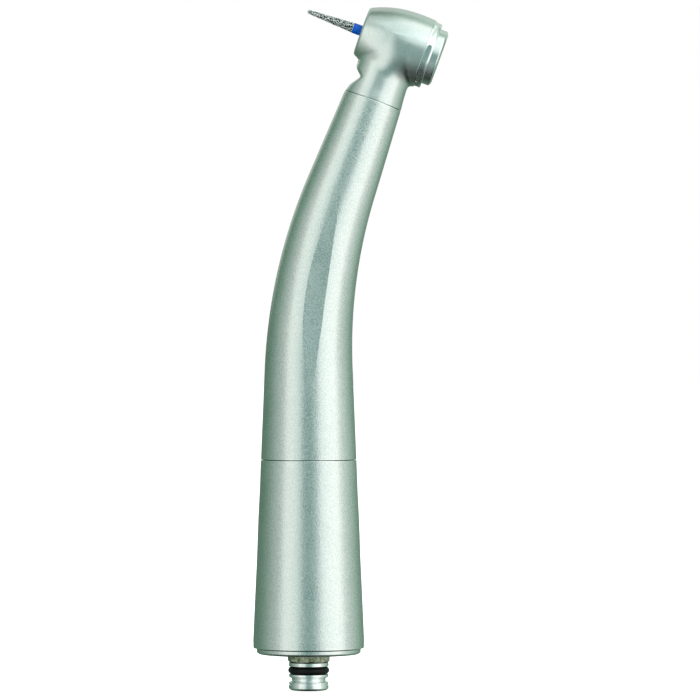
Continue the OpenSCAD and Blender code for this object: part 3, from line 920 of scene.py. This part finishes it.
def diamond_coat():
    """Bright crystals standing in a darker nickel bond; the "wear_and_highlight" attribute marks the crystals
    here.
    """
    s = Shader("diamond_coat").set(IOR=2.4)
    grains = s.attribute("wear_and_highlight")
    spots = s.noise(0.2, 1)
    crystal = s.colours(spots, (0.36, (0.03, 0.04, 0.04)), (0.42, (1.0, 1.0, 1.0)))
    s.to("Base Color", s.mix(grains, (0.04, 0.055, 0.05), crystal))
    s.to("Metallic", s.math("SUBTRACT", 1.0, grains))
    s.to("Roughness", s.between(spots, 0.16, 0.36))
    return s.bump(spots, 0.01, 0.6).material


def light_glass():
    """The polished face of a fused fibre rod: clear, with a fine mosaic of fibre ends."""
    s = Shader("light_glass").set(Metallic=0.0, IOR=1.5, Transmission_Weight=0.35)
    cells = s.nodes.new("ShaderNodeTexVoronoi")
    cells.inputs["Scale"].default_value = 1 / (0.16 * MM)
    s.links.new(s.place, cells.inputs["Vector"])
    rim = cells.outputs["Distance"]
    s.to("Base Color", s.colours(rim, (0.1, (0.62, 0.72, 0.74)), (0.6, (0.90, 0.95, 0.96))))
    s.to("Roughness", s.between(rim, 0.06, 0.16, 0.0, 0.8))
    return s.material


def moulded_resin():
    s = Shader("moulded_resin").set(Metallic=0.0)
    fibres = s.noise(0.15, 4, (1, 1, 6))
    s.to("Base Color", s.colours(fibres, (0.3, (0.20, 0.11, 0.05)), (0.7, (0.36, 0.22, 0.11))))
    s.to("Roughness", s.between(fibres, 0.45, 0.6))
    return s.bump(fibres, 0.01, 0.5).material


def ball_ceramic():
    s = Shader("ball_ceramic").set(Metallic=0.0, IOR=1.9)
    cloud = s.noise(0.4, 2)
    s.to("Base Color", s.colours(cloud, (0.3, (0.80, 0.79, 0.75)), (0.7, (0.90, 0.89, 0.86))))
    s.to("Roughness", s.between(cloud, 0.08, 0.14))
    return s.material


# Slots of one recipe: dark tone, light tone, lowest and highest roughness, then what else differs
STEELS = {
    "polished_steel": ((0.80, 0.84, 0.82), (0.90, 0.93, 0.91), 0.20, 0.28),
    # hex_steel: painted shade and painted reflection, its steel darkened to a mottled olive for the shadow and
    # dark reflections under the end ring
    "hex_steel": ((0.06, 0.08, 0.045), (0.34, 0.36, 0.27), 0.16, 0.28, 0.5),
    "bearing_steel": ((0.60, 0.61, 0.62), (0.72, 0.73, 0.74), 0.15, 0.28),
    "tube_steel": ((0.62, 0.63, 0.63), (0.74, 0.75, 0.75), 0.25, 0.38, 3, (1, 1, 0.1)),
    "block_alloy": ((0.52, 0.53, 0.54), (0.66, 0.67, 0.68), 0.30, 0.42),
    "bur_steel": ((0.66, 0.67, 0.68), (0.80, 0.81, 0.82), 0.14, 0.24),
}
MATERIALS = {slot: bright_steel(slot, *values) for slot, values in STEELS.items()}
MATERIALS.update({
    "satin_titanium": satin_titanium(),
    "ball_ceramic": ball_ceramic(),
    "cage_resin": moulded_resin(),
    "seal_rubber": seal_rubber(),
    "band_enamel": band_enamel(),
    "diamond_coat": diamond_coat(),
    "light_glass": light_glass(),
})


# ---------- Assembly ----------

def dress(obj, slot, body="handpiece", stands_for=()):
    """Gives a piece its material, slot and body, and hides the CAD nodes that it stands for."""
    obj.data.materials.clear()
    obj.data.materials.append(MATERIALS[slot])
    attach(obj, body)
    if stands_for:
        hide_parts(*stands_for)
    return obj


def dress_frame():
    """Every CAD node takes the material of its own slot."""
    for part in frame["record"]["subparts"]:
        node = frame["nodes"][part["node"]]
        node.data.materials.clear()
        node.data.materials.append(MATERIALS[part["material_slot"]])


def build_pieces():
    dress(build_head(), "satin_titanium", stands_for=["head_housing"])
    dress(build_spigot(), "satin_titanium")
    dress(build_cap(), "polished_steel", stands_for=["head_cap"])
    dress(build_button(), "polished_steel", "button", ["push_button"])
    dress(build_body(), "satin_titanium", stands_for=["body_shell"])
    dress(build_sleeve(), "satin_titanium", stands_for=["rear_sleeve"])
    dress(build_end_ring(), "satin_titanium", stands_for=["end_ring"])
    dress(build_hex(), "hex_steel", stands_for=["hex_collar"])
    dress(build_stub(), "polished_steel", stands_for=["coupling_stub"])
    dress(build_seal(), "seal_rubber", stands_for=["stub_ring"])
    dress(build_window(), "light_glass", stands_for=["light_window"])
    dress(build_bur_shank(), "bur_steel", "bur", ["bur_shank"])
    dress(build_band(), "band_enamel", "bur", ["bur_band"])
    dress(build_grit(), "diamond_coat", "bur", ["bur_grit"])


# ---------- Studio ----------

VIEW_CENTRE = Vector((0.0064, 0, 0.0527))
VIEW_DISTANCE = 0.70
VIEW_SIZE = 0.1085             # width of the picture at the object


def add_camera():
    data = bpy.data.cameras.new("camera")
    data.sensor_width = 36
    data.lens = data.sensor_width * VIEW_DISTANCE / VIEW_SIZE
    camera = link("camera", data)
    camera.location = VIEW_CENTRE - Vector((0, VIEW_DISTANCE, 0))
    camera.rotation_euler = (math.pi / 2, 0, 0)
    bpy.context.scene.camera = camera


BOX_DISTANCE = 0.6
# Softboxes: azimuth (0 is the camera's side, positive to the right), elevation, width, height,
# radiance, colour
SOFTBOXES = {
    "left_box": (-39, 2, 0.46, 0.9, 0.49, (1.0, 0.985, 0.95)),
    "right_box": (51, 6, 0.64, 1.1, 0.59, (1.0, 1.0, 0.98)),
    "top_box": (33, 48, 0.8, 0.70, 0.57, (0.95, 1.0, 0.975)),
    "rear_box": (180, 36, 0.9, 0.7, 0.40, (0.98, 1.0, 0.98)),
}


def add_softbox(name, azimuth, elevation, width, height, radiance, colour):
    """A large area light aimed at the object."""
    data = bpy.data.lights.new(name, "AREA")
    data.shape = "RECTANGLE"
    data.size, data.size_y = width, height
    data.energy = radiance * math.pi * width * height
    data.color = colour
    light = link(name, data)
    a, e = math.radians(azimuth), math.radians(elevation)
    away = Vector((math.sin(a) * math.cos(e), -math.cos(a) * math.cos(e), math.sin(e)))
    light.location = VIEW_CENTRE + away * BOX_DISTANCE
    light.rotation_mode = "QUATERNION"
    light.rotation_quaternion = away.to_track_quat("Z", "Y")


# Light that reaches the object from each side: degrees from the camera, colour
AROUND = [
    (-180, (0.12, 0.175, 0.14)), (-130, (0.115, 0.21, 0.145)), (-105, (0.20, 0.31, 0.255)),
    (-80, (0.42, 0.50, 0.46)), (-60, (0.54, 0.60, 0.56)), (-25, (0.34, 0.45, 0.42)),
    (0, (0.18, 0.31, 0.29)), (22, (0.34, 0.45, 0.43)), (60, (0.58, 0.63, 0.60)),
    (88, (0.70, 0.77, 0.72)), (112, (0.42, 0.56, 0.48)), (140, (0.20, 0.32, 0.25)),
    (180, (0.12, 0.175, 0.14)),
]
# How strong that light is: sine of the elevation, strength
BY_HEIGHT = [
    (-1, 0.03), (-0.96, 0.06), (-0.92, 0.13), (-0.85, 0.36), (-0.6, 0.8), (-0.42, 1.0),
    (0, 1), (0.3, 1.1), (0.6, 1.1), (0.85, 1.15), (1, 1.2),
]


def fill_curve(curve, points):
    """Gives a curve these points in place of its two end points."""
    curve.points[0].location = points[0]
    curve.points[-1].location = points[-1]
    for point in points[1:-1]:
        curve.points.new(*point)


def add_node(tree, kind, source, **values):
    """A node of a math or map-range kind, fed by source, with its other inputs set."""
    node = tree.nodes.new(kind)
    for name, value in values.items():
        node.inputs[name.replace("_", " ")].default_value = value
    tree.links.new(source, node.inputs["Value"])
    return node


def multiplied(tree, source, factor):
    node = tree.nodes.new("ShaderNodeMath")
    node.operation = "MULTIPLY"
    node.inputs[1].default_value = factor
    tree.links.new(source, node.inputs[0])
    return node.outputs[0]


def add_world():
    """White to the camera; to everything else dim grey-green, lighter at the sides, dark below."""
    world = bpy.data.worlds.new("studio")
    world.use_nodes = True
    tree = world.node_tree
    nodes, links = tree.nodes, tree.links
    direction = nodes.new("ShaderNodeSeparateXYZ")
    links.new(nodes.new("ShaderNodeTexCoord").outputs["Generated"], direction.inputs[0])
    angle = nodes.new("ShaderNodeMath")
    angle.operation = "ARCTAN2"
    links.new(direction.outputs["X"], angle.inputs[0])
    links.new(multiplied(tree, direction.outputs["Y"], -1), angle.inputs[1])
    share = add_node(tree, "ShaderNodeMapRange", angle.outputs[0], From_Min=-math.pi, From_Max=math.pi)
    ramp = nodes.new("ShaderNodeValToRGB")
    ramp_stops(ramp, [(degrees / 360 + 0.5, colour) for degrees, colour in AROUND])
    links.new(share.outputs["Result"], ramp.inputs["Fac"])
    height = add_node(tree, "ShaderNodeMapRange", direction.outputs["Z"], From_Min=-1)
    level = add_node(tree, "ShaderNodeFloatCurve", height.outputs["Result"])
    points = [((sine + 1) / 2, strength / 2) for sine, strength in BY_HEIGHT]
    fill_curve(level.mapping.curves[0], points)
    level.mapping.update()
    dim = nodes["Background"]
    links.new(ramp.outputs["Color"], dim.inputs["Color"])
    links.new(multiplied(tree, level.outputs["Value"], 2), dim.inputs["Strength"])
    white = nodes.new("ShaderNodeBackground")
    white.inputs["Color"].default_value = (1, 1, 1, 1)
    mix = nodes.new("ShaderNodeMixShader")
    links.new(nodes.new("ShaderNodeLightPath").outputs["Is Camera Ray"], mix.inputs["Fac"])
    links.new(dim.outputs["Background"], mix.inputs[1])
    links.new(white.outputs["Background"], mix.inputs[2])
    links.new(mix.outputs["Shader"], nodes["World Output"].inputs["Surface"])
    bpy.context.scene.world = world


FLOOR_HALF = 6
FLOOR_Z = -0.0003             # just below the stub's rear face


def add_floor():
    mesh = bpy.data.meshes.new("floor")
    bm = bmesh.new()
    bmesh.ops.create_grid(bm, x_segments=2, y_segments=2, size=FLOOR_HALF)
    bm.to_mesh(mesh)
    bm.free()
    floor = link("floor", mesh)
    floor.location = (0, 0, FLOOR_Z)
    s = Shader("floor_paper").set(Metallic=0.0, Roughness=0.9)
    s.set(Emission_Color=(1, 1, 1, 1), Emission_Strength=0.93)
    tone = s.colours(s.noise(40, 3), (0.3, (0.90, 0.90, 0.90)), (0.7, (0.94, 0.94, 0.94)))
    s.to("Base Color", tone)
    mesh.materials.append(s.material)
    floor.visible_glossy = False
    floor.visible_diffuse = False


def build_studio():
    add_camera()
    for name, values in SOFTBOXES.items():
        add_softbox(name, *values)
    add_world()
    add_floor()
    bpy.context.scene.view_settings.view_transform = "Standard"


dress_frame()
build_pieces()
build_studio()
